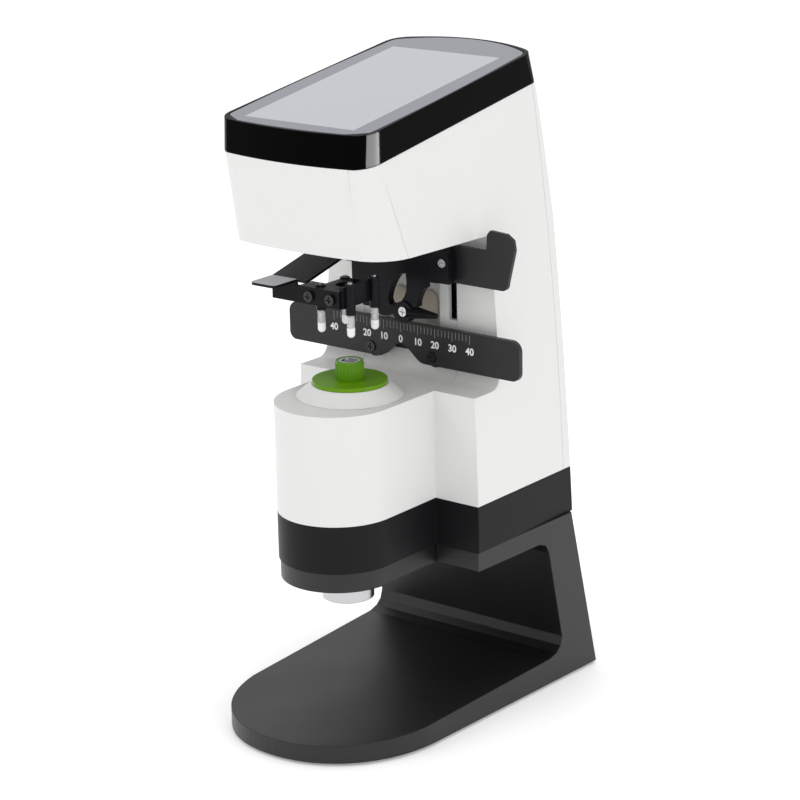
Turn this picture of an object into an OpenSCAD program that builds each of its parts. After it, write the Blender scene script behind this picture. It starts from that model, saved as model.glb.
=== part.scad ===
// Desk lensmeter: a C-shaped stand carries a body with a lens rest below and a tilted display on top.
// The body's depths are measured from the front face of the lens table when it is pushed right back.
// X is the width, Y runs from the user (front, negative) to the rear, and Z is up.

/* [Stand] */
// Half width of the base plate where its round front starts
base_half_w = 53; // [51:0.5:56]
// Length of the rounded front of the base plate
base_front_len = 59; // [54:1:64]
// Thickness of the base plate at its front edge
base_front_t = 8.3; // [7:0.1:10]
// Rearward lean of the stand's upright, in degrees from vertical
upright_lean = 13.2; // [12:0.1:14]
// Height of the rubber feet below the base plate
foot_h = 1.5; // [1:0.1:3]

/* [Body] */
// Half width of the body at its widest level
body_half_w = 53; // [51:0.5:55]
// Radius of the lens rest tower
tower_r = 28.4; // [27:0.1:30]
// Height of the tower's and the shoulder's top above the base plate's underside
shoulder_z = 155.5; // [150:0.5:158]
// Height of the head's underside above the base plate's underside
head_bottom_z = 227; // [222:1:232]
// Wall thickness of the mouldings
wall = 2.6; // [2:0.1:3.2]

/* [Display] */
// Tilt of the display, in degrees, rising towards the rear
display_tilt = 8.6; // [6:0.1:11]
// Depth of the glossy display frame, measured square to the glass
bezel_h = 14.3; // [12:0.1:18]
// Half width of the lit screen
screen_half_w = 30.9; // [28:0.1:32]
// Length of the lit screen
screen_len = 106.8; // [98:0.1:110]

/* [Lens rest] */
// Distance of the optical axis in front of the lens table
axis_depth = 37.7; // [36:0.1:39]
// Radius of the ribbed rest cap
cap_r = 6.65; // [6:0.05:7]
// Height of the ribbed rest cap
cap_h = 8.7; // [7:0.1:10]
// Radius of the coloured rest ring
ring_r = 17.2; // [16:0.1:18]

/* [Lens table] */
// Half length of the lens table
table_half_l = 67.8; // [64:0.1:72]
// Height of the lens table's plate
table_h = 18.8; // [17:0.1:20]
// Height of the lens table's top edge above the base plate's underside
table_top_z = 181.6; // [180:0.1:183]
// Forward travel of the lens table
table_travel = 22; // [15:1:22]

/* [Lens holder] */
// Spacing of the four holder pins, centre to centre
pin_spacing = 17.1; // [16:0.1:18]
// Height of the raised pins' tips above the base plate's underside
pin_tip_z = 185.4; // [184:0.1:187]
// Outer radius of a pin's clear sleeve
pin_r = 1.8; // [1.7:0.05:2.1]
// Downward travel of the lens holder
holder_travel = 13.6; // [10:0.1:13.8]

/* [Hidden] */

big = 400;

// Stand
base_round_y = -42.1;
base_front_y = base_round_y - base_front_len;
base_flare = 0.034;
base_slope = 1.65;
base_power = 2.13;
side_lean = 1.4;
rear_r = 100;
stand_rear_y = 95.8;
arm_bottom_z = 72.2;
skirt_bottom_z = 81.4;
skirt_top_z = 103.9;
window_top_y = 41.9;
window_top_z = 66;
window_low_y = 50.5;
window_low_z = 21;

inlet_z = skirt_bottom_z + 12;

// Body
body_center_z = 78.5;
side_r = 1740;
tower_y = -47.8;
shoulder_y = -12;
column_y = 7.5;
cove_r = 6;
seam_y = 56;
seam_lean = 1.9;
rear_walls = [[77.6, 90, 3.85], [67.2, 237, 7.3], [60.6, 288, 12]];

// Display head, in the tilted frame: y along the glass, z square to it
head_y = -75.9;
head_z = 284.3;
head_bow_r = 245;
head_lip_y = -4.2;
head_front_lean = 1.33;
head_side_w = 42.5;
head_side_taper = 1;
head_corner_r = 10.5;
head_corner_growth = 0.156;
bezel_front_y = -0.9;
bezel_corner_r = 9.6;
bezel_rear_y = 136.9;
bezel_rear_r = 88;
bezel_rear_corner_r = 9;
bezel_rear_flare = 0.25;
glass_front_y = 0.9;
glass_bow_r = 300;
glass_half_w = 40.6;
glass_side_r = 1170;
glass_rear_y = 135.5;
glass_rear_r = 70;
glass_corner_r = 8;
glass_rear_corner_r = 6;
groove_w = 0.5;
glass_t = 1.6;
screen_y = 8;

// Lens rest and optics
axis_y = -axis_depth;
cone_top_z = shoulder_z + 5.6;
ring_t = 1.9;
ring_top_z = cone_top_z + ring_t;
cap_top_z = ring_top_z + cap_h;
light_path_r = 3.4;
rib_count = 22;
rib_r = 0.55;
barrel_y = -43;
barrel_r = 12.1;
barrel_bottom_z = 59.6;

// Lens table
table_t = 2.5;
table_z = table_top_z - table_h;
notch_half_w = 13.5;
notch_h = 7.8;
table_screw_x = 17.75;
table_screw_z = table_z + 3.9;
rod_x = 20;
rod_z = table_z + 8;
table_rod_r = 2.5;

// Lens holder
frame_z = 199;
frame_top_z = 207;
frame_front_y = -50;
tube_r = 2.3;
tube_bottom_z = 196;
tube_top_z = 210;
stem_r = 1.2;
throat_half_w = 27.2;
slot_x = 24.9;
slot_w = 5;
slot_z = 197.6 - holder_travel;
slot_top_z = 226;
lever_slope = 13.5;
guide_x = 14;
guide_y = 27;
guide_r = 3;
spring_z = 177.42;
running = 0.05;

function pin_x(i) = (i % 2 == 0 ? -1 : 1) * pin_spacing / 2;
function pin_y(i) = axis_y + (i < 2 ? -1 : 1) * pin_spacing / 2;
y_shift = -(base_front_y + stand_rear_y) / 2;

white = [0.93, 0.93, 0.92];
black = [0.08, 0.08, 0.09];
graphite = [0.22, 0.23, 0.25];
steel = [0.75, 0.76, 0.78];
lime = [0.36, 0.62, 0.08];
board_green = [0.08, 0.3, 0.16];
beige = [0.75, 0.69, 0.58];

// Puts a sub-part into the row frame: centred on the bounding box, feet on the ground.
module place() {
    translate([0, y_shift, foot_h]) children();
}

// A box given by its two opposite corners.
module block(low, high) {
    translate(low) cube(high - low);
}

// A cylinder along Y from y0 to y1.
module rod_y(r, y0, y1, x = 0, z = 0, fn = 48) {
    translate([x, y0, z]) rotate([-90, 0, 0]) cylinder(r = r, h = y1 - y0, $fn = fn);
}

// A tube standing on z0.
module tube(r_out, r_in, z0, z1, x = 0, y = 0, fn = 48) {
    translate([x, y, z0]) difference() {
        cylinder(r = r_out, h = z1 - z0, $fn = fn);
        translate([0, 0, -1]) cylinder(r = r_in, h = z1 - z0 + 2, $fn = fn);
    }
}

// A pan head screw along Y with its head facing the front at y.
module screw_y(x, y, z, head_r = 2.6, head_h = 1.6, r = 1.3, length = 6) {
    difference() {
        rod_y(head_r, y - head_h, y, x, z, 32);
        block([x - 1.6, y - head_h - 1, z - 0.35], [x + 1.6, y - head_h + 0.7, z + 0.35]);
        block([x - 0.35, y - head_h - 1, z - 1.6], [x + 0.35, y - head_h + 0.7, z + 1.6]);
    }
    rod_y(r, y - 0.5, y + length, x, z, 24);
}

// Children are shared by the tilted display parts.
module tilted() {
    translate([0, head_y, head_z]) rotate([display_tilt, 0, 0]) children();
}

// Removes the material outside a rounded corner between two directions, given in degrees.
module corner_cut(r1, r2, from_a, to_a, h) {
    mid_a = (from_a + to_a) / 2;
    difference() {
        linear_extrude(h) polygon([[0, 0], 40 * [cos(from_a), sin(from_a)],
            60 * [cos(mid_a), sin(mid_a)], 40 * [cos(to_a), sin(to_a)]]);
        translate([0, 0, -1]) cylinder(r1 = r1, r2 = r2, h = h + 2, $fn = 96);
    }
}

// Centre of a corner of radius r that touches a wide circle of radius big_r and the line x = w.
function corner_depth(big_r, r, w) = big_r - sqrt(pow(big_r - r, 2) - pow(w - r, 2));

// Direction from that corner's centre to the point where it touches the wide circle.
function corner_angle(big_r, r, w) = atan2(corner_depth(big_r, r, w) - big_r, w - r);

// The display frame's outer form in the tilted frame; its front spreads forwards as it goes down.
module bezel_form() {
    front_lean = atan((bezel_front_y - head_lip_y) / bezel_h);
    top_w = head_side_w;
    top_y = bezel_front_y + corner_depth(head_bow_r, bezel_corner_r, top_w);
    low_y = head_lip_y + corner_depth(head_bow_r, head_corner_r, top_w);
    corner_slope = (head_corner_r - bezel_corner_r) / bezel_h;
    rear_w = head_side_w - 110 * tan(head_side_taper);
    difference() {
        intersection() {
            block([-80, -40, -bezel_h + 0.02], [80, 180, 0]);
            translate([0, bezel_front_y, 0]) rotate([-front_lean, 0, 0])
                translate([0, head_bow_r, -40]) cylinder(r = head_bow_r, h = 80, $fn = 720);
            translate([0, bezel_rear_y - bezel_rear_r, -40])
                cylinder(r = bezel_rear_r, h = 80, $fn = 360);
            on_both_sides() translate([head_side_w, 12, -40])
                rotate([0, 0, head_side_taper]) translate([-120, -100, 0]) cube([120, 300, 80]);
        }
        for (s = [0, 1]) mirror([s, 0, 0]) {
            translate([top_w - bezel_corner_r, top_y, 0])
                rotate([-atan((top_y - low_y) / bezel_h), atan(corner_slope), 0])
                    translate([0, 0, -20]) corner_cut(bezel_corner_r + corner_slope * 21,
                        bezel_corner_r - corner_slope * 11, corner_angle(head_bow_r,
                        bezel_corner_r, top_w), 0, 30);
            translate([rear_w - bezel_rear_corner_r, bezel_rear_y
                - corner_depth(bezel_rear_r, bezel_rear_corner_r, rear_w), 0])
                rotate([atan(bezel_rear_flare), -atan(bezel_rear_flare), 0])
                    translate([0, 0, -20])
                    corner_cut(bezel_rear_corner_r - bezel_rear_flare * 21,
                        bezel_rear_corner_r + bezel_rear_flare * 11, 0,
                        -corner_angle(bezel_rear_r, bezel_rear_corner_r, rear_w), 30);
        }
    }
}

// The cover glass's outline in the tilted frame, from z0 to z1, made smaller by inset.
module glass_form(inset, z0, z1) {
    front_w = glass_half_w - 0.5;
    rear_w = glass_half_w - 2.5;
    difference() {
        intersection() {
            translate([0, glass_front_y + glass_bow_r, z0])
                cylinder(r = glass_bow_r - inset, h = z1 - z0, $fn = 720);
            translate([0, glass_rear_y - glass_rear_r, z0])
                cylinder(r = glass_rear_r - inset, h = z1 - z0, $fn = 360);
            on_both_sides() translate([glass_half_w - glass_side_r, 45, z0])
                cylinder(r = glass_side_r - inset, h = z1 - z0, $fn = 1440);
        }
        for (s = [0, 1]) mirror([s, 0, 0]) {
            translate([front_w - glass_corner_r, glass_front_y
                + corner_depth(glass_bow_r, glass_corner_r, front_w), z0 - 1])
                corner_cut(glass_corner_r - inset, glass_corner_r - inset,
                    corner_angle(glass_bow_r, glass_corner_r, front_w), 0, z1 - z0 + 2);
            translate([rear_w - glass_rear_corner_r, glass_rear_y
                - corner_depth(glass_rear_r, glass_rear_corner_r, rear_w), z0 - 1])
                corner_cut(glass_rear_corner_r - inset, glass_rear_corner_r - inset,
                    0, -corner_angle(glass_rear_r, glass_rear_corner_r, rear_w), z1 - z0 + 2);
        }
    }
}

// Keeps what lies inside the child and inside its mirror image.
module on_both_sides() {
    intersection() {
        children();
        mirror([1, 0, 0]) children();
    }
}

// The body's two curved side walls, moved inwards by inset.
module side_walls(inset) {
    on_both_sides() translate([body_half_w - side_r, -big / 2, body_center_z])
        rotate([-90, 0, 0]) cylinder(r = side_r - inset, h = big, $fn = 720);
}

// A leaning barrel; spot is its back line's depth, the height where that holds, and its lean.
module rear_wall(spot, inset) {
    translate([0, spot[0], spot[1]]) rotate([spot[2], 0, 0]) translate([0, -rear_r, -big])
        cylinder(r = rear_r - inset, h = 2 * big, $fn = 360);
}

// Plan of the tower and the shoulder behind it, from z0 to z1.
module tower_plan(inset, z0, z1) {
    translate([0, tower_y, z0]) cylinder(r = tower_r - inset, h = z1 - z0, $fn = 180);
    block([-tower_r + inset, tower_y, z0], [tower_r - inset, shoulder_y + inset + 1, z1]);
    block([-80, shoulder_y + inset, z0], [80, 90, z1]);
}

// The whole body's outer form below the display frame, moved inwards by inset.
module body_form(inset, z0) {
    intersection() {
        side_walls(inset);
        rear_wall(rear_walls[0], inset);
        rear_wall(rear_walls[1], inset);
        rear_wall(rear_walls[2], inset);
        union() {
            tower_plan(inset, z0, shoulder_z - inset);
            block([-80, column_y + inset, z0], [80, 110, head_bottom_z + wall + 2]);
            head_form(inset);
            if (inset == 0) shoulder_cove();
        }
    }
}

// The head below the display frame: bowed front, and front corners that widen downwards.
module head_form(inset) {
    corner_x = head_side_w - head_corner_r;
    corner_y = head_lip_y + corner_depth(head_bow_r, head_corner_r, head_side_w);
    drop = 80;
    difference() {
        intersection() {
            translate([0, 0, head_bottom_z + inset]) rotate([-1.2, 0, 0])
                block([-80, -120, 0], [80, 120, 100]);
            tilted() block([-80, -60, -120], [80, 200, -bezel_h + (inset > 0 ? 1 : 0)]);
            tilted() translate([0, head_lip_y, -bezel_h]) rotate([head_front_lean, 0, 0])
                translate([0, head_bow_r, -90]) cylinder(r = head_bow_r - inset, h = 100, $fn = 720);
        }
        for (s = [0, 1]) mirror([s, 0, 0]) tilted()
            translate([corner_x, corner_y, -bezel_h]) rotate([9.4, 4, 0]) translate([0, 0, -drop])
                corner_cut(head_corner_r + head_corner_growth * (drop + 1) - inset,
                    head_corner_r - head_corner_growth * 11 - inset,
                    corner_angle(head_bow_r, head_corner_r, head_side_w), 0, drop + 10);
    }
}

// The concave fillet where the column rises from the shoulder.
module shoulder_cove() {
    difference() {
        block([-80, column_y - cove_r, shoulder_z - 1], [80, column_y + 1, shoulder_z + cove_r]);
        translate([-81, column_y - cove_r, shoulder_z + cove_r]) rotate([0, 90, 0])
            cylinder(r = cove_r, h = 162, $fn = 96);
    }
}

// Everything in front of the seam between the shell and the rear cover.
module front_of_seam(gap = 0) {
    translate([0, seam_y - gap, 100]) rotate([seam_lean, 0, 0])
        block([-100, -250, -150], [100, 0, 250]);
}

// ---- Stand ----

module base_plan() {
    round_pts = [for (a = [180 : 4 : 360]) [
        base_half_w * sign(cos(a)) * pow(abs(cos(a)), 2 / base_power),
        base_round_y - base_front_len * pow(abs(sin(a)), 2 / base_power)]];
    flare_w = base_half_w + 8;
    polygon(concat(round_pts, [[flare_w, 100], [-flare_w, 100]]));
}

module window_profile() {
    polygon([[-130, arm_bottom_z], [window_top_y - 7.5, arm_bottom_z],
        [window_top_y - 2.4, arm_bottom_z - 1.9], [window_top_y, window_top_z],
        [window_low_y, window_low_z], [window_low_y - 1.4, window_low_z - 4.4],
        [window_low_y - 4.8, window_low_z - 7.2], [window_low_y - 10, window_low_z - 8.6],
        [-130, base_front_t - tan(base_slope) * 29]]);
}

module stand() {
    color(graphite) place() difference() {
        intersection() {
            linear_extrude(skirt_bottom_z) base_plan();
            stand_sides();
            rear_wall([stand_rear_y, 0, upright_lean], 0);
        }
        rotate([90, 0, 90]) translate([0, 0, -80]) linear_extrude(160) window_profile();
        block([-80, -130, arm_bottom_z - 1], [80, shoulder_y + 0.4, skirt_bottom_z + 1]);
        for (x = [-38, 38], y = [5, 48]) {
            translate([x, y, arm_bottom_z - 1]) cylinder(r = 2.2, h = 20, $fn = 32);
            translate([x, y, arm_bottom_z - 1]) cylinder(r = 4.2, h = 4.4, $fn = 32);
        }
        for (x = [-36, 36], y = [-68, 66]) translate([x, y, -1]) cylinder(r = 6.05, h = 2, $fn = 48);
    }
}

// The stand's sides spread towards the rear and lean inwards a little as they rise.
module stand_sides() {
    on_both_sides() translate([base_half_w, base_round_y, 0])
        rotate([0, -side_lean, -atan(base_flare)]) translate([-200, -200, -20]) cube([200, 400, 200]);
}

module nose_base_plate() {
    color(graphite) place() difference() {
        union() {
            translate([0, tower_y - 0.4, arm_bottom_z])
                cylinder(r = tower_r - 1, h = skirt_bottom_z - arm_bottom_z, $fn = 180);
            block([-tower_r + 1, tower_y, arm_bottom_z], [tower_r - 1, shoulder_y, skirt_bottom_z]);
        }
        translate([0, barrel_y, arm_bottom_z - 1]) cylinder(r = barrel_r + 0.1, h = 20, $fn = 96);
        for (x = [-20, 20]) {
            translate([x, -24, arm_bottom_z - 1]) cylinder(r = 1.7, h = 20, $fn = 32);
            translate([x, -24, arm_bottom_z - 1]) cylinder(r = 3.2, h = 3.4, $fn = 32);
        }
    }
}

module rubber_feet() {
    color(black) place() for (x = [-36, 36], y = [-68, 66]) translate([x, y, 0]) {
        translate([0, 0, -foot_h]) cylinder(r1 = 5.4, r2 = 6, h = foot_h, $fn = 48);
        cylinder(r = 6, h = 1, $fn = 48);
    }
}

// A socket head screw standing on its head at z.
module socket_screw(x, y, z, head_r, head_h, r, length) {
    translate([x, y, z]) difference() {
        union() {
            cylinder(r = head_r, h = head_h, $fn = 40);
            cylinder(r = r, h = head_h + length, $fn = 32);
        }
        translate([0, 0, -1]) cylinder(r = head_r * 0.5, h = 1 + head_h * 0.6, $fn = 6);
    }
}

module stand_screws() {
    color(steel) place() {
        for (x = [-38, 38], y = [5, 48]) socket_screw(x, y, arm_bottom_z + 0.4, 3.9, 3, 2, 10);
        for (x = [-20, 20]) socket_screw(x, -24, arm_bottom_z + 0.3, 2.9, 2.1, 1.5, 11);
    }
}

module skirt() {
    color(black) place() difference() {
        intersection() {
            side_walls(0);
            rear_wall(rear_walls[0], 0);
            tower_plan(0, skirt_bottom_z, skirt_top_z);
        }
        intersection() {
            side_walls(wall);
            rear_wall(rear_walls[0], wall);
            tower_plan(wall, skirt_bottom_z + 3, skirt_top_z + 1);
        }
        translate([0, barrel_y, skirt_bottom_z - 1]) cylinder(r = barrel_r + 0.1, h = 20, $fn = 96);
        for (x = [-38, 38], y = [5, 48])
            translate([x, y, skirt_bottom_z - 1]) cylinder(r = 2.03, h = 6, $fn = 32);
        for (x = [-20, 20])
            translate([x, -24, skirt_bottom_z - 1]) cylinder(r = 1.53, h = 6, $fn = 32);
        block([-16, 60, inlet_z - 7], [16, 100, inlet_z + 7]);
    }
}

// ---- Body ----

module body_shell() {
    color(white) place() difference() {
        intersection() {
            body_form(0, skirt_top_z);
            front_of_seam(0.15);
        }
        body_form(wall, skirt_top_z - 1);
        // light path down through the head and into the tower
        translate([0, axis_y, head_bottom_z - 2]) cylinder(r = 9, h = 9, $fn = 64);
        translate([0, axis_y, shoulder_z - 8]) cylinder(r = 15.5, h = 16, $fn = 96);
        throat_zone(0.2);
    }
}

// The part of the column's front and the shoulder that the throat panel takes up.
module throat_zone(gap) {
    foot_y = -7;
    foot_r = 8;
    half_w = throat_half_w + gap;
    low_z = shoulder_z - wall - (gap > 0 ? 1 : 0);
    block([-half_w, foot_y + foot_r, low_z],
        [half_w, column_y + wall + (gap > 0 ? 1 : 0), slot_top_z + gap]);
    block([-half_w + foot_r + gap, foot_y - gap, low_z], [half_w - foot_r - gap, foot_y + foot_r + 1,
        shoulder_z + (gap > 0 ? 1 : 0)]);
    for (s = [-1, 1]) translate([s * (half_w - foot_r - gap), foot_y + foot_r, low_z])
        cylinder(r = foot_r + gap, h = shoulder_z - low_z + (gap > 0 ? 1 : 0), $fn = 96);
}

module rear_cover() {
    color(white) place() difference() {
        intersection() {
            body_form(0, skirt_top_z);
            difference() {
                block([-100, 0, 0], [100, 130, 330]);
                front_of_seam(0);
            }
        }
        body_form(wall, skirt_top_z - 1);
        for (z = [118, 262], x = [-26, 26]) {
            rod_y(1.7, 40, 100, x, z, 32);
            rod_y(3.1, rear_y(x, z) - 1.4, 100, x, z, 32);
        }
        for (z = [178 : 6 : 214]) {
            block([-16, 50, z - 1.1], [16, 100, z + 1.1]);
            for (x = [-16, 16]) rod_y(1.1, 50, 100, x, z, 24);
        }
    }
}

// Depth of the body's back face at x and z.
function rear_y(x, z) = min([for (w = rear_walls) w[0] - tan(w[2]) * (z - w[1])])
    - rear_r + sqrt(rear_r * rear_r - x * x);

module rear_cover_screws() {
    color(steel) place() for (z = [118, 262], x = [-26, 26])
        mirror([0, 1, 0]) screw_y(x, 1.38 - rear_y(x, z), z, 2.9, 1.33, 1.5, 7);
}

module throat_panel() {
    color(white) place() difference() {
        union() {
            difference() {
                throat_zone(0);
                // everything in front of the column, above the shoulder and outside the cove
                block([-40, -20, shoulder_z + cove_r], [40, column_y, 240]);
                block([-40, -20, shoulder_z], [40, column_y - cove_r, shoulder_z + cove_r + 1]);
                translate([-41, column_y - cove_r, shoulder_z + cove_r]) rotate([0, 90, 0])
                    cylinder(r = cove_r, h = 82, $fn = 96);
                // room behind and below the skin
                block([-40, -20, shoulder_z - 5], [40, column_y + 5, shoulder_z - wall + 0.01]);
            }
            block([-18.9, column_y + 1, 176.4], [18.9, 13.7, 208]);
        }
        block([-17.4, column_y - 1, 178], [17.4, 12, 206.4]);
        for (s = [-1, 1]) {
            mirror([s > 0 ? 0 : 1, 0, 0])
                block([slot_x - slot_w / 2, column_y - 1, slot_z],
                    [slot_x + 5, column_y + 5, slot_top_z - 3]);
            rod_y(table_rod_r + 0.9, column_y - 1, column_y + 5, s * rod_x, rod_z);
        }
        rod_y(1.32, column_y - 1, column_y + 9, -14, 215, 24);
    }
}

// A flat pad with round ends.
module stadium(w, h, y0, y1) {
    r = w / 2;
    rod_y(r, y0, y1, 0, h / 2 - r);
    rod_y(r, y0, y1, 0, -h / 2 + r);
    block([-r, y0, -h / 2 + r], [r, y1, h / 2 - r]);
}

module felt_pads() {
    color(beige) place() for (s = [-1, 1])
        translate([s * 8.85, 0, 187.6]) stadium(9.7, 15, 10.6, 11.99);
}

// ---- Display head ----

module display_bezel() {
    color(black) place() tilted() difference() {
        bezel_form();
        glass_form(-groove_w, -glass_t, 1);
        glass_form(1.6, -bezel_h - 1, -4);
        block([-screen_half_w - 1, screen_y - 1, -8],
            [screen_half_w + 1, screen_y + screen_len + 1, 1]);
    }
}

module cover_glass() {
    color([0.6, 0.62, 0.66]) place() tilted() glass_form(0, -glass_t + 0.02, 0);
}

module lcd_panel() {
    color([0.8, 0.82, 0.85]) place() tilted()
        block([-screen_half_w - 0.8, screen_y - 0.8, -glass_t - 2.6],
            [screen_half_w + 0.8, screen_y + screen_len + 0.8, -glass_t]);
}

module display_board() {
    color(board_green) place() tilted() {
        block([-30, 12, -glass_t - 4.4], [30, 110, -glass_t - 2.8]);
        block([-22, 24, -glass_t - 6.4], [-8, 38, -glass_t - 4.3]);
        block([6, 50, -glass_t - 7], [24, 62, -glass_t - 4.3]);
        block([-20, 80, -glass_t - 6.8], [18, 86, -glass_t - 4.3]);
    }
}

// ---- Inside the body ----

module main_board() {
    color(board_green) place() {
        block([-36, 50, 114], [36, 51.6, 222]);
        block([-14, 45.2, 132], [14, 50.1, 160]);
        block([-30, 46, 176], [-20, 50.1, 190]);
        block([18, 44, 196], [30, 50.1, 214]);
        for (x = [-34, 34], z = [116, 220]) rod_y(2, 51.5, seam_y + 1.5, x, z, 24);
    }
}

module led_board() {
    color(board_green) place() translate([0, axis_y, head_bottom_z + 34]) {
        block([-14, -14, 0], [14, 14, 1.6]);
        translate([0, 0, -2.4]) cylinder(r = 3.5, h = 2.5, $fn = 48);
        for (x = [-11, 11], y = [-11, 11])
            translate([x, y, 1.5]) cylinder(r = 2.2, h = 1.6, $fn = 24);
    }
}

module collimator_barrel() {
    color(black) place() translate([0, axis_y, head_bottom_z]) difference() {
        union() {
            translate([0, 0, 0.6]) cylinder(r = 8.8, h = 33.3, $fn = 72);
            translate([0, 0, wall + 1.25]) cylinder(r = 12.5, h = 3, $fn = 72);
            translate([0, 0, 30.9]) cylinder(r = 12.5, h = 3, $fn = 72);
        }
        translate([0, 0, -1]) cylinder(r = 6, h = 40, $fn = 72);
        translate([0, 0, -1]) cylinder(r = 7.5, h = 7.6, $fn = 72);
    }
}

// A biconvex lens standing on z.
module lens(r, edge_t, bulge, x, y, z) {
    ball_r = (r * r + bulge * bulge) / (2 * bulge);
    translate([x, y, z]) intersection() {
        cylinder(r = r, h = edge_t, $fn = 72);
        translate([0, 0, -ball_r + edge_t]) sphere(r = ball_r, $fn = 96);
        translate([0, 0, ball_r]) sphere(r = ball_r, $fn = 96);
    }
}

module collimator_lens() {
    color([0.7, 0.8, 0.85, 0.5]) place() lens(7.45, 5, 1.6, 0, axis_y, head_bottom_z + 1.4);
}

module rest_cone() {
    color(white) place() translate([0, axis_y, 0]) difference() {
        union() {
            translate([0, 0, shoulder_z + 0.02])
                cylinder(r1 = 24.9, r2 = 17.9, h = cone_top_z - shoulder_z, $fn = 180);
            translate([0, 0, shoulder_z - 4]) cylinder(r = 15.4, h = 5, $fn = 96);
        }
        translate([0, 0, shoulder_z - 5]) cylinder(r = 9.2, h = 20, $fn = 72);
    }
}

module rest_ring() {
    color(lime) place() translate([0, axis_y, 0]) difference() {
        union() {
            translate([0, 0, cone_top_z + 0.04]) cylinder(r = ring_r, h = ring_t - 0.04, $fn = 144);
            translate([0, 0, cone_top_z - 3]) cylinder(r = 9, h = 4, $fn = 72);
        }
        translate([0, 0, cone_top_z - 4]) cylinder(r = light_path_r + 0.4, h = 20, $fn = 48);
        translate([0, 0, ring_top_z - 1]) cylinder(r = 4.9, h = 20, $fn = 48);
    }
}

module rest_cap() {
    color(lime) place() translate([0, axis_y, 0]) difference() {
        union() {
            translate([0, 0, ring_top_z + 0.03]) cylinder(r = cap_r - 0.4, h = cap_h - 0.03, $fn = 96);
            translate([0, 0, ring_top_z - 0.9]) cylinder(r = 4.83, h = 2, $fn = 48);
            for (i = [0 : rib_count - 1]) rotate([0, 0, i * 360 / rib_count])
                translate([cap_r - rib_r, 0, ring_top_z + 0.5])
                    cylinder(r = rib_r, h = cap_h - 1.6, $fn = 16);
        }
        translate([0, 0, ring_top_z - 2]) cylinder(r = light_path_r, h = 20, $fn = 48);
        translate([0, 0, cap_top_z - 1.6]) cylinder(r = 5.2, h = 2, $fn = 64);
    }
}

module cap_ring() {
    color(steel) place() tube(5.15, 3.6, cap_top_z - 1.58, cap_top_z - 0.2, 0, axis_y, 64);
}

module cap_window() {
    color([0.2, 0.25, 0.28, 0.6]) place() translate([0, axis_y, cap_top_z - 1.5])
        cylinder(r = 3.56, h = 0.8, $fn = 48);
}

module hartmann_plate() {
    color(steel) place() translate([0, axis_y, shoulder_z - 6.68]) difference() {
        cylinder(r = 11.8, h = 0.8, $fn = 96);
        for (x = [-2 : 2], y = [-2 : 2])
            translate([x * 1.5, y * 1.5, -1]) cylinder(r = 0.35, h = 3, $fn = 16);
    }
}

module imaging_lens() {
    color([0.7, 0.8, 0.85, 0.5]) place() lens(8.85, 4.5, 1.8, 0, axis_y, 112);
}

// Silver tube that carries the sensor optics and shows below the tower.
module sensor_barrel() {
    color(steel) place() translate([0, barrel_y, 0]) difference() {
        union() {
            translate([0, 0, barrel_bottom_z]) cylinder(r = barrel_r, h = 35, $fn = 120);
            translate([0, 0, skirt_bottom_z + 3.1]) cylinder(r = barrel_r + 2.5, h = 2.5, $fn = 96);
        }
        translate([0, 0, barrel_bottom_z + 1.5]) cylinder(r = barrel_r - 1.8, h = 50, $fn = 96);
        translate([0, 0, barrel_bottom_z - 1]) cylinder(r = 2.2, h = 5, $fn = 6);
    }
}

// Tube on the optical axis that stands on the sensor barrel and holds the imaging lens.
module imaging_tube() {
    top_z = shoulder_z - 6.7;
    color(black) place() difference() {
        union() {
            translate([0, barrel_y + 2, 94.7]) cylinder(r = 16, h = 3.5, $fn = 96);
            translate([0, axis_y, 98]) cylinder(r = 12, h = top_z - 98, $fn = 96);
        }
        translate([0, axis_y, 90]) cylinder(r = 6, h = 80, $fn = 72);
        translate([0, axis_y, 111.9]) cylinder(r = 9, h = 60, $fn = 72);
    }
}

module sensor_board() {
    color(board_green) place() translate([0, barrel_y, 0]) {
        translate([0, 0, 90]) cylinder(r = barrel_r - 1.85, h = 1.6, $fn = 72);
        block([-4, -4, 91.5], [4, 4, 93]);
    }
}

// ---- Lens table ----

module table_outline() {
    difference() {
        union() {
            translate([-table_half_l + 5, table_z]) square([2 * table_half_l - 10, table_h]);
            translate([-table_half_l, table_z + 4]) square([2 * table_half_l, table_h - 9]);
            for (s = [-1, 1]) {
                translate([s * (table_half_l - 4), table_z + 4]) circle(r = 4, $fn = 48);
                translate([s * (table_half_l - 5), table_top_z - 5]) circle(r = 5, $fn = 48);
            }
        }
        // round-topped notch that clears the rest cap
        polygon(concat(
            [for (i = [-10 : 10]) [notch_half_w * i / 10,
                table_z + notch_h * (1 + cos(18 * i)) / 2]],
            [[notch_half_w, table_z - 1], [-notch_half_w, table_z - 1]]));
    }
}

module lens_table() {
    color(graphite) place() difference() {
        translate([0, table_t, 0]) rotate([90, 0, 0]) linear_extrude(table_t) table_outline();
        for (s = [-1, 1]) {
            rod_y(1.35, -1, 5, s * table_screw_x, table_screw_z, 24);
            rod_y(2.65, -1, 1, s * table_screw_x, table_screw_z, 32);
        }
    }
}

module scale_marks() {
    color([0.8, 0.8, 0.8]) place() for (i = [-20 : 20]) {
        mark_h = i % 5 == 0 ? 4.4 : 3.2;
        block([2 * i - 0.15, -0.08, table_top_z - 1 - mark_h], [2 * i + 0.15, 0, table_top_z - 1]);
    }
}

module table_screws() {
    color(black) place() for (s = [-1, 1])
        screw_y(s * table_screw_x, 0.9, table_screw_z, 2.5, 1.6, 1.3, 4.2);
}

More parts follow.
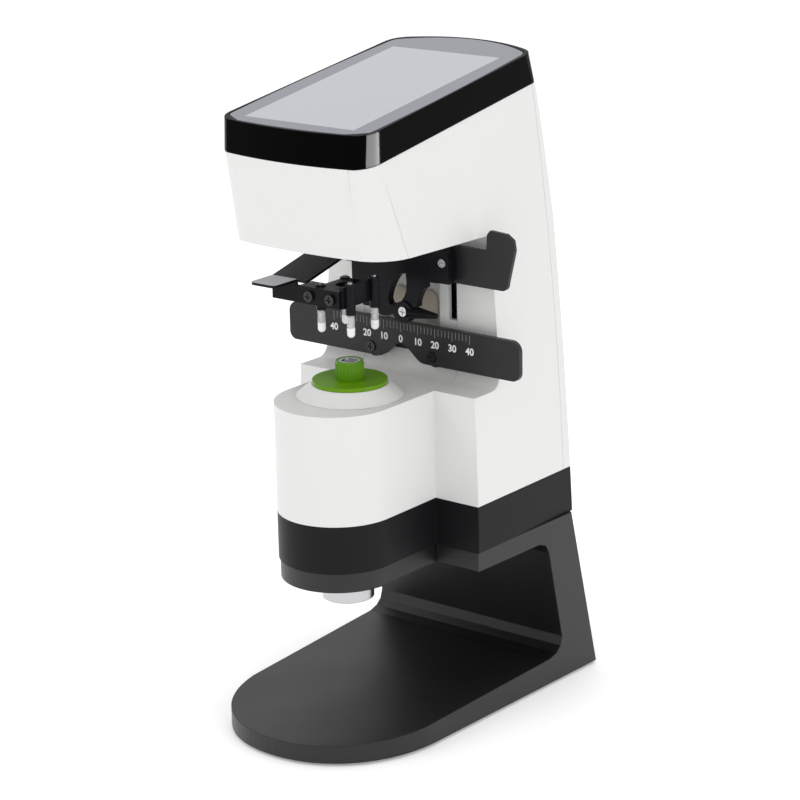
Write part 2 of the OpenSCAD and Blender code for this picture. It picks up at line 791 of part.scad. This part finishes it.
module table_bracket() {
    color(black) place() difference() {
        union() {
            block([-24, table_t, table_z + 5], [24, 6.2, table_z + 12.5]);
            for (s = [-1, 1]) rod_y(5.3, table_t, 6.2, s * table_screw_x, table_screw_z);
        }
        for (s = [-1, 1]) {
            rod_y(1.32, 0, 10, s * table_screw_x, table_screw_z, 24);
            rod_y(table_rod_r, table_t + 1, 10, s * rod_x, rod_z);
        }
    }
}

module table_rods() {
    color(steel) place() for (s = [-1, 1])
        rod_y(table_rod_r, table_t + 1.02, 24 + table_travel, s * rod_x, rod_z);
}

module table_bushes() {
    color([0.72, 0.6, 0.3]) place() for (s = [-1, 1]) difference() {
        union() {
            rod_y(4.6, column_y + wall + 0.05, 17.9, s * rod_x, rod_z);
            rod_y(table_rod_r + 0.85, column_y + 0.2, 20, s * rod_x, rod_z);
        }
        rod_y(table_rod_r + running, 0, 30, s * rod_x, rod_z);
    }
}

// ---- Lens holder ----

// Bent sheet: front flange with the thumb tab, sloped arm, and the tail through the left slot.
module thumb_lever() {
    sheet = 1.2;
    left = -33.2;
    tab_z = 208.4;
    tab_r = 2.5;
    tab_y = frame_front_y - 16.6;
    color(black) place() difference() {
        union() {
            block([left, frame_front_y - sheet, frame_z], [6.1, frame_front_y, frame_top_z]);
            block([left, frame_front_y - sheet, frame_z], [-18.6, frame_front_y, tab_z + sheet]);
            block([left, tab_y + tab_r, tab_z], [-18.6, frame_front_y, tab_z + sheet]);
            block([left + tab_r, tab_y, tab_z], [-18.6 - tab_r, frame_front_y, tab_z + sheet]);
            for (x = [left + tab_r, -18.6 - tab_r]) translate([x, tab_y + tab_r, tab_z])
                cylinder(r = tab_r, h = sheet, $fn = 48);
            translate([0, frame_front_y - sheet + 0.2, tab_z - 0.1]) rotate([lever_slope, 0, 0]) {
                block([left, 0, 0], [-12.6, 37, sheet]);
                block([left, 36, 0], [-25.4, 50.6, sheet]);
            }
            block([-26.5, -6, 208], [-23.3, -2.6, 219]);
            block([-26.5, -2.7, 208], [-23.3, 21, 217]);
            block([-28, -3.4, 217], [-23.3, -2.3, 220.2]);
        }
        for (x = [-11.1, 1.2]) rod_y(1.35, -60, -40, x, 202.8, 24);
    }
}

module lever_screws() {
    color(black) place() for (x = [-11.1, 1.2]) screw_y(x, frame_front_y - 1.22, 202.8, 2.5, 1.3, 1.3, 3.4);
}

module pin_frame() {
    half = pin_spacing / 2 - 1.1;
    back_y = axis_y + pin_spacing / 2 + 1.4;
    color(black) place() difference() {
        union() {
            block([-17.4, frame_front_y + 0.02, frame_z], [half, axis_y - 4, frame_top_z]);
            block([-half - 2, axis_y - 5, frame_z], [half, back_y, frame_top_z]);
            block([half - 2, frame_front_y + 0.02, frame_z], [half, back_y, frame_top_z + 1.8]);
            for (i = [0 : 3]) translate([pin_x(i), pin_y(i), tube_bottom_z])
                cylinder(r = tube_r, h = (i % 2 == 1 ? tube_top_z : tube_top_z - 2.5) - tube_bottom_z,
                    $fn = 48);
        }
        translate([0, axis_y, frame_z - 5]) cylinder(r = 5.2, h = 30, $fn = 64);
        for (i = [0 : 3]) translate([pin_x(i), pin_y(i), 0]) {
            translate([0, 0, tube_bottom_z - 1]) cylinder(r = stem_r + running, h = 30, $fn = 32);
            translate([0, 0, tube_bottom_z - 1]) cylinder(r = pin_r + 0.1, h = 11, $fn = 32);
        }
        for (x = [-11.1, 1.2]) rod_y(1.32, -60, -47.7, x, 202.8, 24);
    }
}

// One spring-loaded pin: a stem in the frame's tube and a soft round tip.
module holder_pin(i) {
    tip_h = 4.6;
    color([0.95, 0.95, 0.95]) place() translate([pin_x(i), pin_y(i), 0]) {
        translate([0, 0, pin_tip_z + pin_r]) sphere(r = pin_r, $fn = 48);
        translate([0, 0, pin_tip_z + pin_r]) cylinder(r = pin_r, h = tip_h - pin_r, $fn = 48);
        translate([0, 0, pin_tip_z + tip_h - 0.5]) cylinder(r = 0.9, h = 6, $fn = 32);
        translate([0, 0, pin_tip_z + tip_h + 5.2]) cylinder(r = stem_r, h = i % 2 == 1 ? 15.8 : 13, $fn = 32);
        translate([0, 0, pin_tip_z + tip_h + 5.2]) cylinder(r = pin_r + 0.02, h = 1.4, $fn = 32);
    }
}
module pin_1() { holder_pin(0); }
module pin_2() { holder_pin(1); }
module pin_3() { holder_pin(2); }
module pin_4() { holder_pin(3); }

module pin_sleeve(i) {
    color([0.85, 0.88, 0.9, 0.5]) place()
        tube(pin_r, 1.3, pin_tip_z + 4.62, pin_tip_z + 9.78, pin_x(i), pin_y(i));
}
module pin_sleeve_1() { pin_sleeve(0); }
module pin_sleeve_2() { pin_sleeve(1); }
module pin_sleeve_3() { pin_sleeve(2); }
module pin_sleeve_4() { pin_sleeve(3); }

// A spring drawn as one wavy sleeve of n waves, standing on the origin.
module bellows(r_in, r_out, h, n) {
    pitch = h / n;
    skin = 0.3;
    outer = [for (k = [0 : n - 1], t = [0, 0.5]) [t == 0 ? r_in + skin : r_out, (k + t) * pitch]];
    inner = [for (k = [n - 1 : -1 : 0], t = [0.5, 0]) [t == 0 ? r_in : r_out - skin, (k + t) * pitch]];
    rotate_extrude($fn = 48) polygon(concat(outer, [[r_in + skin, h], [r_in, h]], inner));
}

// Spring between the pin's collar and the roof of its tube.
module pin_spring(i) {
    color(steel) place() translate([pin_x(i), pin_y(i), pin_tip_z + 11.25])
        bellows(1.45, pin_r, 9.3, 6);
}
module pin_spring_1() { pin_spring(0); }
module pin_spring_2() { pin_spring(1); }
module pin_spring_3() { pin_spring(2); }
module pin_spring_4() { pin_spring(3); }

// Front face of the bracket: a web with a leaf-shaped window and a swept lower edge.
module bracket_plate() {
    difference() {
        union() {
            block([-21.8, -8, 205], [30, -4, 223]);
            block([-21.8, -8, 212], [21.5, 7.42, 223]);
            block([-12, -8, 192], [21, -4, 206]);
            block([-22.6, -7, 198.3], [-8, -4, 206]);
            block([-16.4, -7, 188.4], [-3, -4, 199]);
            rod_y(6.4, -8, -4, 7.6, 190);
            rod_y(9, -8, -4, -3.5, 194.5);
            block([24.6, -8.6, 205.5], [35, -4, 217]);
            rod_y(4.6, -8.6, -4, 30.4, 217);
        }
        rod_y(14, -20, -2, 30, 191.3, 96);
        rotate([90, 0, 0]) translate([0, 0, 2]) linear_extrude(18)
            polygon([[10, 207.2], [7.6, 206.9], [4.9, 205.2], [2.8, 202.4], [1.2, 199.6], [0, 196.6],
                [-0.7, 193.6], [0.1, 191.6], [2.6, 191], [5, 191], [6.8, 193.3], [8.8, 196],
                [10.1, 198.9], [10.4, 203.2]]);
    }
}

// Fixed moulding in the throat that steadies the lens holder.
module holder_bracket() {
    color(black) place() difference() {
        union() {
            bracket_plate();
            rod_y(4.9, -9, -3, 8.6, 189.2);
            translate([8.8, -6.4, 189.1]) rotate([0, 90, 0])
                cylinder(r1 = 3.7, r2 = 1.2, h = 17.4, $fn = 40);
        }
        rod_y(1.32, -20, 0, 8.6, 189.2, 24);
        rod_y(2.4, -20, -8, 8.6, 189.2, 32);
        rod_y(1.32, -20, 0, 31.9, 215.2, 24);
        rod_y(1.32, -20, 20, -14, 215, 24);
    }
}

module bracket_screws() {
    color(steel) place() {
        screw_y(8.6, -8.05, 189.2, 2.3, 1.2, 1.3, 4.5);
        screw_y(-14, -8.05, 215, 2.7, 1.2, 1.3, 17.6);
        screw_y(31.9, -8.65, 215.2, 2, 1, 1.3, 4.2);
    }
}

// Side handle: a plate with an upturned end.
module hook_outline() {
    polygon([[23.3, 204.8], [60, 204.8], [63, 207.6], [67, 224], [66.2, 228.6], [62.6, 231],
        [53.6, 231.6], [51.9, 229.6], [51.5, 222.2], [23.3, 222.2]]);
    translate([60, 207.9]) circle(r = 3.1, $fn = 32);
}

module hook_lever() {
    color(black) place() {
        rotate([90, 0, 0]) linear_extrude(2) hook_outline();
        block([23.3, -2, 208], [26.5, 21, 217]);
    }
}

module slider_block() {
    color([0.3, 0.3, 0.32]) place() difference() {
        union() {
            block([-27, 21.02, 205], [27, 33, 219]);
            for (s = [-1, 1]) translate([s * guide_x, guide_y, 201])
                cylinder(r = 5.6, h = 22, $fn = 48);
        }
        for (s = [-1, 1]) translate([s * guide_x, guide_y, 150])
            cylinder(r = guide_r + running, h = 120, $fn = 48);
    }
}

module guide_rods() {
    color(steel) place() for (s = [-1, 1]) translate([s * guide_x, guide_y, spring_z - 2.4])
        cylinder(r = guide_r, h = head_bottom_z + wall + 3 - spring_z + 2.4, $fn = 48);
}

// Frame that holds the guide rods behind the throat panel.
module guide_frame() {
    floor_z = head_bottom_z + wall + 0.05;
    color([0.5, 0.51, 0.53]) place() difference() {
        union() {
            block([-20, 18, spring_z - 2.6], [20, 37, spring_z - 0.02]);
            block([-20, 34, spring_z - 1], [20, 37, floor_z + 2]);
            block([-20, 4, floor_z], [20, 37, floor_z + 3.2]);
        }
        for (s = [-1, 1]) translate([s * guide_x, guide_y, spring_z - 2.4])
            cylinder(r = guide_r, h = 80, $fn = 48);
    }
}

// Counterbalance spring under the slider.
module lift_spring() {
    color(steel) place() translate([0, guide_y, spring_z]) bellows(3.4, 5, 205 - spring_z - 0.02, 10);
}

// ---- Rear ----

module power_inlet() {
    color(black) place() translate([0, 0, inlet_z]) {
        difference() {
            block([-15.9, 62, -6.9], [15.9, 73.9, 6.9]);
            rod_y(3.6, 66, 90, -8, 0, 48);
            block([1.6, 63, -6], [11.4, 90, 6]);
        }
        rod_y(0.9, 65.5, 73, -8, 0, 24);
    }
}

module power_switch() {
    color(black) place() translate([6.5, 69.5, inlet_z]) difference() {
        rotate([0, 90, 0]) translate([0, 0, -4.6]) cylinder(r = 5.7, h = 9.2, $fn = 64);
        translate([0, 4.4, 0]) for (s = [-1, 1]) rotate([-s * 11, 0, 0])
            block([-10, 0, s < 0 ? -12 : 0], [10, 10, s < 0 ? 0 : 12]);
    }
}

stand();
nose_base_plate();
rubber_feet();
stand_screws();
skirt();
body_shell();
rear_cover();
rear_cover_screws();
throat_panel();
felt_pads();
display_bezel();
cover_glass();
lcd_panel();
display_board();
main_board();
led_board();
collimator_barrel();
collimator_lens();
rest_cone();
rest_ring();
rest_cap();
cap_ring();
cap_window();
hartmann_plate();
imaging_lens();
sensor_barrel();
imaging_tube();
sensor_board();
lens_table();
scale_marks();
table_screws();
table_bracket();
table_rods();
table_bushes();
thumb_lever();
lever_screws();
pin_frame();
pin_1();
pin_2();
pin_3();
pin_4();
pin_sleeve_1();
pin_sleeve_2();
pin_sleeve_3();
pin_sleeve_4();
pin_spring_1();
pin_spring_2();
pin_spring_3();
pin_spring_4();
holder_bracket();
bracket_screws();
hook_lever();
guide_frame();
guide_rods();
slider_block();
lift_spring();
power_inlet();
power_switch();
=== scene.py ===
import math
import bmesh
import bpy
from mathutils import Matrix, Vector


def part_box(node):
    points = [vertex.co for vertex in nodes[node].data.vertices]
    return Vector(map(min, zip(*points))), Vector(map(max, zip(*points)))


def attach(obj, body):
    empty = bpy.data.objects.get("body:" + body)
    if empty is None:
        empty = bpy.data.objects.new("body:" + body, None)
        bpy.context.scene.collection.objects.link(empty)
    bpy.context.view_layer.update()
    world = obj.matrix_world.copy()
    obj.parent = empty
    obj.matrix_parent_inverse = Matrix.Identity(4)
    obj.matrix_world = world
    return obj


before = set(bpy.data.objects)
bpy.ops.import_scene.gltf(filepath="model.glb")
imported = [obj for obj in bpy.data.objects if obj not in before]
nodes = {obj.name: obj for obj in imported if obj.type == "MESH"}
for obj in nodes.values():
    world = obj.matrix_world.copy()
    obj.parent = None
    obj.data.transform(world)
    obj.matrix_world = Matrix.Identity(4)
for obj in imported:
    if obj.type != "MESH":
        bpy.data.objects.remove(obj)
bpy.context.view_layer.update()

# Lengths are in metres unless a comment says otherwise.

# The photograph's viewpoint, from a camera fit to the scale marks on the lens table and to
# the edges of the table, the body's foot and the stand.
CAMERA_AZIMUTH, CAMERA_ELEVATION, CAMERA_ROLL = 38.586, 16.812, -1.195  # degrees
CAMERA_PLACE = (0.73953, -0.92570, 0.50333)
CAMERA_CLIP = (0.05, 100)
CAMERA_LENS, CAMERA_SENSOR = 119.28, 36  # millimetres

# Area lights: name, place, point aimed at, width, height, watts.
STUDIO_LIGHTS = (
    ("key", (-0.75, -1.15, 1.05), (0, 0, 0.16), 0.6, 0.6, 3.0),
    ("fill", (1.3, -0.35, 0.6), (0, 0, 0.2), 0.7, 0.7, 2.8),
    ("top", (0.0, 0.3, 1.5), (0, 0, 0.2), 0.9, 0.9, 2.6),
)
# This one lights the display frame alone, for the pale strip on the frame's corner.
CORNER_CARD = ("corner_card", (0.94, 0.10, 0.14), (0, 0, 0.14), 1.25, 0.28, 115)

FLOOR_REACH = 30  # from the middle to each side
FLOOR_GLOW = 0.22  # emission strength that brings the background up to white

EDGE_BLUR = 0.0002  # half the soft border of a painted rectangle
RELIEF_DEPTH = 0.0002
BEVEL_SAMPLES = 4

# The screen as it shows in the cover glass, in the glass's own X and Y.
SCREEN_HALF_WIDTH, SCREEN_FRONT, SCREEN_BACK = 0.0309, -0.0653, 0.0403

PINS = range(1, 5)
PIN_TIP_TOP = 0.1916  # white tip below this height, steel above it
TAB_LEVEL = 0.2105  # the thumb lever's faces that look up above this height carry a painted highlight

SCALE_STEP = 0.01  # from one number on the table to the next
NUMERAL_SIZE, NUMERAL_EXTRUDE, NUMERAL_WEIGHT = 0.0047, 0.00004, 0.00010
NUMERAL_LIFT = 0.00005  # in front of the table's face
NUMERAL_DROP = 0.0088  # from the table's top to the middle of a number


# ---------------------------------------------------------------- shader helpers

def noise(tree, vector, scale, detail):
    node = tree.nodes.new("ShaderNodeTexNoise")
    node.inputs["Scale"].default_value = scale
    node.inputs["Detail"].default_value = detail
    tree.links.new(vector, node.inputs["Vector"])
    return node.outputs["Fac"]


def remap(tree, value, low, high, to_low=0.0, to_high=1.0):
    node = tree.nodes.new("ShaderNodeMapRange")
    for socket, bound in (("From Min", low), ("From Max", high),
                          ("To Min", to_low), ("To Max", to_high)):
        node.inputs[socket].default_value = bound
    tree.links.new(value, node.inputs["Value"])
    return node.outputs["Result"]


def arith(tree, operation, a, b=None):
    node = tree.nodes.new("ShaderNodeMath")
    node.operation = operation
    tree.links.new(a, node.inputs[0])
    if b is not None:
        tree.links.new(b, node.inputs[1])
    return node.outputs["Value"]


def blend(tree, factor, a, b):
    """Mix two colours; each may be a colour tuple or the output of another node."""
    node = tree.nodes.new("ShaderNodeMix")
    node.data_type = "RGBA"
    for socket, value in (("A", a), ("B", b)):
        if isinstance(value, tuple):
            node.inputs[socket].default_value = (*value, 1)
        else:
            tree.links.new(value, node.inputs[socket])
    tree.links.new(factor, node.inputs["Factor"])
    return node.outputs["Result"]


def rectangle(tree, coords, half_width, y_low, y_high):
    """One inside a rectangle of the object's own X and Y, nought outside it."""
    split = tree.nodes.new("ShaderNodeSeparateXYZ")
    tree.links.new(coords, split.inputs["Vector"])
    across = remap(tree, arith(tree, "ABSOLUTE", split.outputs["X"]),
                   half_width + EDGE_BLUR, half_width - EDGE_BLUR)
    near = remap(tree, split.outputs["Y"], y_low - EDGE_BLUR, y_low + EDGE_BLUR)
    far = remap(tree, split.outputs["Y"], y_high + EDGE_BLUR, y_high - EDGE_BLUR)
    return arith(tree, "MULTIPLY", across, arith(tree, "MULTIPLY", near, far))


def surface(name, color, rough, metal=0.0, dark=0.9, grain=900.0, bump=0.0, bump_scale=2500.0,
            rough_var=0.04, spec=0.5, transmission=0.0, alpha=1.0, stretch=(1, 1, 1),
            sheen=0.0, soft=0.0, inlay=None):
    """A Principled material with procedural grain, uneven roughness and a fine relief.

    dark multiplies the colour of the grain's dark specks, and stretch scales the pattern
    along each axis. soft is the radius by which edges look rounded. inlay is a second
    colour with the half width and the Y range of the rectangle it fills."""
    mat = bpy.data.materials.new(name)
    mat.use_nodes = True
    tree = mat.node_tree
    bsdf = tree.nodes["Principled BSDF"]
    for socket, value in (("Metallic", metal), ("Specular IOR Level", spec),
                          ("Transmission Weight", transmission), ("Alpha", alpha),
                          ("Sheen Weight", sheen)):
        bsdf.inputs[socket].default_value = value
    coords = tree.nodes.new("ShaderNodeTexCoord").outputs["Object"]
    mapping = tree.nodes.new("ShaderNodeMapping")
    mapping.inputs["Scale"].default_value = stretch
    tree.links.new(coords, mapping.inputs["Vector"])
    place = mapping.outputs["Vector"]
    speck = remap(tree, noise(tree, place, grain, detail=2.0), 0.3, 0.7)
    base = blend(tree, speck, tuple(c * dark for c in color), color)
    if inlay:
        inner, half_width, y_low, y_high = inlay
        inside = rectangle(tree, coords, half_width, y_low, y_high)
        base = blend(tree, inside, base, inner)
    tree.links.new(base, bsdf.inputs["Base Color"])
    cloud = remap(tree, noise(tree, place, scale=28.0, detail=3.0), 0.25, 0.75,
                  max(rough - rough_var, 0.01), min(rough + rough_var, 1.0))
    tree.links.new(cloud, bsdf.inputs["Roughness"])
    normal = None
    if soft:
        rounded = tree.nodes.new("ShaderNodeBevel")
        rounded.samples = BEVEL_SAMPLES
        rounded.inputs["Radius"].default_value = soft
        normal = rounded.outputs["Normal"]
    if bump:
        relief = tree.nodes.new("ShaderNodeBump")
        relief.inputs["Strength"].default_value = bump
        relief.inputs["Distance"].default_value = RELIEF_DEPTH
        tree.links.new(noise(tree, place, bump_scale, detail=2.0), relief.inputs["Height"])
        if normal:
            tree.links.new(normal, relief.inputs["Normal"])
        normal = relief.outputs["Normal"]
    if normal:
        tree.links.new(normal, bsdf.inputs["Normal"])
    return mat


# ---------------------------------------------------------------- camera and light

def make_camera():
    azimuth, elevation, roll = (math.radians(angle) for angle in
                                (CAMERA_AZIMUTH, CAMERA_ELEVATION, CAMERA_ROLL))
    back = Vector((math.sin(azimuth) * math.cos(elevation),
                   -math.cos(azimuth) * math.cos(elevation), math.sin(elevation)))
    level = Vector((math.cos(azimuth), math.sin(azimuth), 0))
    upright = back.cross(level)
    right = level * math.cos(roll) + upright * math.sin(roll)
    up = upright * math.cos(roll) - level * math.sin(roll)
    data = bpy.data.cameras.new("camera")
    data.sensor_width = CAMERA_SENSOR
    data.lens = CAMERA_LENS
    data.clip_start, data.clip_end = CAMERA_CLIP
    camera = bpy.data.objects.new("camera", data)
    bpy.context.scene.collection.objects.link(camera)
    stance = Matrix((right, up, back)).transposed().to_4x4()
    stance.translation = Vector(CAMERA_PLACE)
    camera.matrix_world = stance
    bpy.context.scene.camera = camera


def area_light(name, place, target, width, height, power):
    data = bpy.data.lights.new(name, "AREA")
    data.shape = "RECTANGLE"
    data.size = width
    data.size_y = height
    data.energy = power
    lamp = bpy.data.objects.new(name, data)
    bpy.context.scene.collection.objects.link(lamp)
    lamp.location = place
    lamp.rotation_mode = "QUATERNION"
    lamp.rotation_quaternion = (Vector(target) - Vector(place)).to_track_quat("-Z", "Y")
    return lamp


def make_world():
    """A white surround that is brighter overhead and in a band along the horizon."""
    world = bpy.data.worlds.new("studio")
    world.use_nodes = True
    tree = world.node_tree
    coords = tree.nodes.new("ShaderNodeTexCoord")
    split = tree.nodes.new("ShaderNodeSeparateXYZ")
    tree.links.new(coords.outputs["Generated"], split.inputs["Vector"])
    sky = remap(tree, split.outputs["Z"], 0.0, 0.9, to_low=0.76, to_high=0.92)
    horizon = remap(tree, split.outputs["Z"], 0.03, 0.12, to_low=0.26, to_high=0.0)
    background = tree.nodes["Background"]
    tree.links.new(arith(tree, "ADD", sky, horizon), background.inputs["Strength"])
    background.inputs["Color"].default_value = (1, 1, 1, 1)
    bpy.context.scene.world = world
    bpy.context.scene.view_settings.view_transform = "Standard"


def make_lights():
    for light in STUDIO_LIGHTS:
        area_light(*light)
    card = area_light(*CORNER_CARD)
    only = bpy.data.collections.new("display_frame_only")
    only.objects.link(nodes["display_bezel"])
    card.light_linking.receiver_collection = only


def make_floor():
    mesh = bpy.data.meshes.new("floor")
    grid = bmesh.new()
    bmesh.ops.create_grid(grid, x_segments=1, y_segments=1, size=FLOOR_REACH)
    grid.to_mesh(mesh)
    grid.free()
    floor = bpy.data.objects.new("floor", mesh)
    bpy.context.scene.collection.objects.link(floor)
    paper = surface("floor_white", (0.96, 0.96, 0.96), 0.7, dark=0.995, spec=0.2)
    bsdf = paper.node_tree.nodes["Principled BSDF"]
    bsdf.inputs["Emission Color"].default_value = (1, 1, 1, 1)
    bsdf.inputs["Emission Strength"].default_value = FLOOR_GLOW
    floor.data.materials.append(paper)


# ---------------------------------------------------------------- materials

def dress(material, *names):
    for name in names:
        mesh = nodes[name].data
        mesh.materials.clear()
        mesh.materials.append(material)
        for p in mesh.polygons:
            p.material_index = 0


def dress_above(material, height, name, facing_up=False):
    """A second material for the faces of a node that lie above a height."""
    mesh = nodes[name].data
    mesh.materials.append(material)
    for p in mesh.polygons:
        if p.center.z > height and (p.normal.z > 0.999 or not facing_up):
            p.material_index = len(mesh.materials) - 1


def dress_shells():
    """The white housing, the stand and the display."""
    white = surface("white_plastic", (0.715, 0.715, 0.707), 0.36, bump=0.05, bump_scale=1800,
                    dark=0.985, spec=0.4, soft=0.0003)
    powder = surface("powder_coat", (0.0045, 0.005, 0.006), 0.40, bump=0.55, bump_scale=2400,
                     dark=0.5, grain=2400, soft=0.0008)
    satin_black = surface("satin_black", (0.008, 0.008, 0.0095), 0.45, bump=0.12,
                          bump_scale=2600, dark=0.8, spec=0.14, soft=0.0005)
    gloss_black = surface("gloss_black", (0.0001, 0.0001, 0.00012), 0.05, rough_var=0.012,
                          spec=0.03, soft=0.0007)
    rubber = surface("rubber", (0.02, 0.02, 0.02), 0.8, bump=0.2)
    felt = surface("felt", (0.60, 0.52, 0.43), 0.95, bump=0.8, bump_scale=1500, dark=0.8,
                   sheen=0.3)
    # Opaque cover glass with the screen painted on it: the border's grey and the paler screen
    # are partly their own colour and partly a painted reflection of the light from above
    glass = surface("screen_glass", (0.198, 0.208, 0.243), 0.05, rough_var=0.01, spec=0.5,
                    dark=0.98, inlay=((0.445, 0.468, 0.502), SCREEN_HALF_WIDTH,
                                      SCREEN_FRONT, SCREEN_BACK))
    screen = surface("screen", (0.52, 0.545, 0.59), 0.2, bump=0.02)
    dress(white, "body_shell", "rear_cover", "throat_panel")
    dress(powder, "stand", "nose_base_plate")
    dress(satin_black, "skirt", "collimator_barrel", "imaging_tube", "power_inlet",
          "power_switch")
    dress(gloss_black, "display_bezel")
    dress(rubber, "rubber_feet")
    dress(felt, "felt_pads")
    dress(glass, "cover_glass")
    dress(screen, "lcd_panel")


def dress_rest():
    """The lens rest and the barrel under the tower."""
    rest_white = surface("rest_white", (0.74, 0.735, 0.72), 0.36, bump=0.04, dark=0.98,
                         soft=0.0005)
    green = surface("green_plastic", (0.125, 0.30, 0.002), 0.38, bump=0.05, dark=0.93,
                    spec=0.2, soft=0.0004)
    green_cap = surface("green_cap", (0.100, 0.265, 0.002), 0.36, bump=0.05, dark=0.90,
                        spec=0.2, soft=0.0002)
    window = surface("cap_window", (0.03, 0.05, 0.05), 0.05, spec=0.6, rough_var=0.01)
    barrel = surface("polished_barrel", (0.56, 0.56, 0.575), 0.24, metal=1.0,
                     stretch=(1, 1, 30), bump=0.03, soft=0.0005)
    dress(rest_white, "rest_cone")
    dress(green, "rest_ring")
    dress(green_cap, "rest_cap")
    dress(window, "cap_window")
    dress(barrel, "sensor_barrel")


def dress_table_and_holder():
    """The lens table, the lens holder and the fittings round them."""
    moulded = surface("moulded_black", (0.006, 0.006, 0.008), 0.30, bump=0.06, spec=0.12,
                      soft=0.0003)
    black_steel = surface("black_steel", (0.006, 0.006, 0.007), 0.30, bump=0.05, spec=0.10,
                          soft=0.0003)
    # Pale grey painted highlight of the light from above, laid on the black lever's top faces
    tab_top_painted_highlight = surface("tab_top_painted_highlight", (0.355, 0.36, 0.39), 0.35, bump=0.06, spec=0.4,
                         dark=0.94, soft=0.0003)
    hook = surface("hook_black", (0.016, 0.016, 0.018), 0.36, bump=0.08, spec=0.25,
                   soft=0.0003)
    anodised = surface("anodised", (0.021, 0.021, 0.0225), 0.38, bump=0.1, bump_scale=3500,
                       spec=0.25, soft=0.0003)
    screw_black = surface("screw_black", (0.006, 0.006, 0.007), 0.30, bump=0.06, spec=0.5,
                          soft=0.0002)
    ticks = surface("scale_print", (0.20, 0.20, 0.205), 0.6, bump=0.05)
    tip = surface("soft_tip", (0.84, 0.84, 0.83), 0.45, bump=0.05)
    pin_steel = surface("pin_steel", (0.30, 0.31, 0.33), 0.15, metal=1.0, bump=0.04,
                        stretch=(1, 1, 12))
    sleeve = surface("clear_sleeve", (0.90, 0.92, 0.93), 0.05, rough_var=0.01, alpha=0.30)
    dress(moulded, "table_bracket", "pin_frame", "holder_bracket")
    dress(black_steel, "thumb_lever")
    dress_above(tab_top_painted_highlight, TAB_LEVEL, "thumb_lever", facing_up=True)
    dress(hook, "hook_lever")
    dress(anodised, "lens_table", "guide_frame")
    dress(screw_black, "table_screws", "lever_screws")
    dress(ticks, "scale_marks")
    for i in PINS:
        dress(tip, "pin_%d" % i)
        dress_above(pin_steel, PIN_TIP_TOP, "pin_%d" % i)
        dress(sleeve, "pin_sleeve_%d" % i)


def dress_works():
    """Screws, guides, springs, boards and lenses, most of them hidden."""
    steel = surface("steel", (0.62, 0.63, 0.65), 0.26, metal=1.0, bump=0.08,
                    stretch=(1, 1, 12), soft=0.0002)
    slider = surface("slider_metal", (0.4, 0.41, 0.43), 0.35, metal=1.0, bump=0.05)
    brass = surface("brass", (0.6, 0.45, 0.16), 0.25, metal=1.0, bump=0.04)
    board = surface("circuit_board", (0.02, 0.12, 0.05), 0.4, bump=0.2, bump_scale=900)
    lens = surface("lens_glass", (0.8, 0.9, 0.95), 0.03, transmission=0.9, rough_var=0.01)
    dress(steel, "stand_screws", "rear_cover_screws", "cap_ring", "hartmann_plate",
          "table_rods", "bracket_screws", "guide_rods", "lift_spring",
          *["pin_spring_%d" % i for i in PINS])
    dress(slider, "slider_block")
    dress(brass, "table_bushes")
    dress(board, "display_board", "main_board", "led_board", "sensor_board")
    dress(lens, "collimator_lens", "imaging_lens")


# ---------------------------------------------------------------- added pieces

def add_numerals():
    """Numbers under the table's scale, one text piece for each ten millimetres."""
    numeral_print = surface("numeral_print", (0.86, 0.86, 0.86), 0.6, bump=0.05)
    low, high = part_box("lens_table")
    for i in range(-4, 5):
        curve = bpy.data.curves.new("numeral_%d" % (i + 4), "FONT")
        curve.body = str(abs(i) * 10)
        curve.size = NUMERAL_SIZE
        curve.extrude = NUMERAL_EXTRUDE
        curve.align_x, curve.align_y = "CENTER", "CENTER"
        curve.offset = NUMERAL_WEIGHT
        piece = bpy.data.objects.new("numeral_%d" % (i + 4), curve)
        bpy.context.scene.collection.objects.link(piece)
        piece.location = (i * SCALE_STEP, low.y - NUMERAL_LIFT, high.z - NUMERAL_DROP)
        piece.rotation_euler = (math.pi / 2, 0, 0)
        curve.materials.append(numeral_print)
        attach(piece, "lens_table_slide")


make_camera()
dress_shells()
dress_rest()
dress_table_and_holder()
dress_works()
make_world()
make_lights()
make_floor()
add_numerals()
